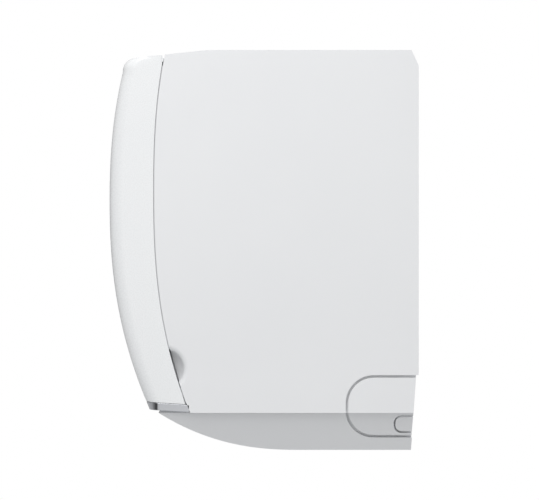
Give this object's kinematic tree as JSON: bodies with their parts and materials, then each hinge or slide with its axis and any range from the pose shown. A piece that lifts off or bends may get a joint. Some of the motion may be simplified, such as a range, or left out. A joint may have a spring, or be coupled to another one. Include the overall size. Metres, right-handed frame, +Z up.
{
  "type": "air conditioner indoor unit",
  "caption": "Wall-mounted split air conditioner indoor unit: bowed lift-up front panel, closing louvre, linked vertical vanes, cross-flow fan and bent heat exchanger on a steel wall plate.",
  "frame": {"origin": "centre of the mounting plate's back face, on the wall", "axes": "+X along the wall to the right as seen from the front, -Y out of the wall to the front, +Z up"},
  "size_m": [0.8, 0.22, 0.285],
  "materials": {
    "panel_white": "satin-gloss injection-moulded ABS",
    "case_white": "fine-grained injection-moulded ABS",
    "housing_grey": "fine-grained injection-moulded ABS",
    "vane_white": "moulded polypropylene",
    "clip_grey": "moulded acetal",
    "foam_white": "moulded plastic over insulating foam",
    "hose_white": "ribbed soft hose",
    "chrome_trim": "vacuum-metallised plastic",
    "smoked_lens": "smoked acrylic",
    "steel": "zinc-plated steel",
    "galvanised_steel": "spangled galvanised sheet",
    "fin_aluminium": "hydrophilic-coated aluminium fins",
    "copper": "drawn copper tube",
    "brass": "turned brass",
    "bronze": "sintered bronze",
    "black_rubber": "moulded rubber",
    "filter_grey": "fine polypropylene mesh",
    "fan_grey": "glass-filled AS plastic",
    "motor_steel": "plated pressed steel",
    "box_ivory": "flame-retardant ABS",
    "board_green": "solder-masked laminate",
    "component_dark": "moulded component bodies",
    "foam_grey": "closed-cell foam sleeve"
  },
  "bodies": {
    "unit": {"mounting_plate": "galvanised_steel", "base_chassis": "housing_grey", "bottom_housing": "housing_grey", "case": "case_white", "drain_pan": "foam_white", "drain_hose": "hose_white", "front_fins": "fin_aluminium", "upper_fins": "fin_aluminium", "rear_fins": "fin_aluminium", "coil_tubes": "copper", "return_bends": "copper", "coil_end_plates": "galvanised_steel", "coil_sensor": "copper", "filter_left": "filter_grey", "filter_right": "filter_grey", "fan_bearing": "bronze", "bearing_mount": "black_rubber", "fan_motor": "motor_steel", "motor_cradle": "housing_grey", "motor_clamp": "galvanised_steel", "electrical_box": "box_ivory", "electrical_cover": "box_ivory", "control_board": "board_green", "board_components": "component_dark", "terminal_block": "component_dark", "cord_clamp": "component_dark", "receiver_board": "board_green", "hinge_pins": "steel", "louvre_motor": "motor_steel", "vane_motor": "motor_steel", "gas_pipe": "copper", "liquid_pipe": "copper", "flare_nuts": "brass", "pipe_insulation": "foam_grey", "pipe_holder": "housing_grey", "screws": "steel", "pipe_cover_right": "case_white", "pipe_cover_left": "case_white", "cable_cover_right": "case_white", "cable_cover_left": "case_white"},
    "front_panel": {"front_panel": "panel_white", "panel_trim": "chrome_trim", "panel_latches": "clip_grey", "receiver_lens": "smoked_lens"},
    "fan": {"fan_rotor": "fan_grey", "fan_shaft": "steel"},
    "louvre": {"louvre": "panel_white"},
    "link_bar": {"link_bar": "clip_grey"},
    "auto_button": {"auto_button": "clip_grey"},
    "vane_1": {"vane_1": "vane_white"},
    "vane_2": {"vane_2": "vane_white"},
    "vane_3": {"vane_3": "vane_white"},
    "vane_4": {"vane_4": "vane_white"},
    "vane_5": {"vane_5": "vane_white"},
    "vane_6": {"vane_6": "vane_white"},
    "vane_7": {"vane_7": "vane_white"},
    "vane_8": {"vane_8": "vane_white"},
    "vane_9": {"vane_9": "vane_white"},
    "vane_10": {"vane_10": "vane_white"}
  },
  "joints": [
    {"name": "panel_hinge", "type": "hinge", "parent": "unit", "child": "front_panel", "pos_m": [0, -0.18427, 0.11745], "axis": [-1, 0, 0], "range_deg": [0, 70]},
    {"name": "fan_spin", "type": "hinge", "parent": "unit", "child": "fan", "pos_m": [0, -0.095, -0.061], "axis": [1, 0, 0], "continuous": true},
    {"name": "louvre_tilt", "type": "hinge", "parent": "unit", "child": "louvre", "pos_m": [0, -0.13001, -0.14301], "axis": [1, 0, 0], "range_deg": [0, 70]},
    {"name": "bar_slide", "type": "slide", "parent": "unit", "child": "link_bar", "axis": [1, 0, 0], "range_m": [-0.0101, 0.0101]},
    {"name": "button_press", "type": "slide", "parent": "unit", "child": "auto_button", "axis": [0, 1, 0], "range_m": [0, 0.0015], "stiffness_N_per_m": 300},
    {"name": "vane_1_turn", "type": "hinge", "parent": "unit", "child": "vane_1", "pos_m": [-0.3065, -0.07466, -0.1268], "axis": [0, -0.682, 0.7314], "range_deg": [-30, 30]},
    {"name": "vane_2_turn", "type": "hinge", "parent": "unit", "child": "vane_2", "pos_m": [-0.24133, -0.07466, -0.1268], "axis": [0, -0.682, 0.7314], "range_deg": [-30, 30]},
    {"name": "vane_3_turn", "type": "hinge", "parent": "unit", "child": "vane_3", "pos_m": [-0.17617, -0.07466, -0.1268], "axis": [0, -0.682, 0.7314], "range_deg": [-30, 30]},
    {"name": "vane_4_turn", "type": "hinge", "parent": "unit", "child": "vane_4", "pos_m": [-0.111, -0.07466, -0.1268], "axis": [0, -0.682, 0.7314], "range_deg": [-30, 30]},
    {"name": "vane_5_turn", "type": "hinge", "parent": "unit", "child": "vane_5", "pos_m": [-0.04583, -0.07466, -0.1268], "axis": [0, -0.682, 0.7314], "range_deg": [-30, 30]},
    {"name": "vane_6_turn", "type": "hinge", "parent": "unit", "child": "vane_6", "pos_m": [0.01933, -0.07466, -0.1268], "axis": [0, -0.682, 0.7314], "range_deg": [-30, 30]},
    {"name": "vane_7_turn", "type": "hinge", "parent": "unit", "child": "vane_7", "pos_m": [0.0845, -0.07466, -0.1268], "axis": [0, -0.682, 0.7314], "range_deg": [-30, 30]},
    {"name": "vane_8_turn", "type": "hinge", "parent": "unit", "child": "vane_8", "pos_m": [0.14967, -0.07466, -0.1268], "axis": [0, -0.682, 0.7314], "range_deg": [-30, 30]},
    {"name": "vane_9_turn", "type": "hinge", "parent": "unit", "child": "vane_9", "pos_m": [0.21483, -0.07466, -0.1268], "axis": [0, -0.682, 0.7314], "range_deg": [-30, 30]},
    {"name": "vane_10_turn", "type": "hinge", "parent": "unit", "child": "vane_10", "pos_m": [0.28, -0.07466, -0.1268], "axis": [0, -0.682, 0.7314], "range_deg": [-30, 30]}
  ],
  "couplings": [
    {"joint": "vane_1_turn", "follows": "bar_slide", "rad_per_m": 51.8},
    {"joint": "vane_2_turn", "follows": "bar_slide", "rad_per_m": 51.8},
    {"joint": "vane_3_turn", "follows": "bar_slide", "rad_per_m": 51.8},
    {"joint": "vane_4_turn", "follows": "bar_slide", "rad_per_m": 51.8},
    {"joint": "vane_5_turn", "follows": "bar_slide", "rad_per_m": 51.8},
    {"joint": "vane_6_turn", "follows": "bar_slide", "rad_per_m": 51.8},
    {"joint": "vane_7_turn", "follows": "bar_slide", "rad_per_m": 51.8},
    {"joint": "vane_8_turn", "follows": "bar_slide", "rad_per_m": 51.8},
    {"joint": "vane_9_turn", "follows": "bar_slide", "rad_per_m": 51.8},
    {"joint": "vane_10_turn", "follows": "bar_slide", "rad_per_m": 51.8}
  ]
}
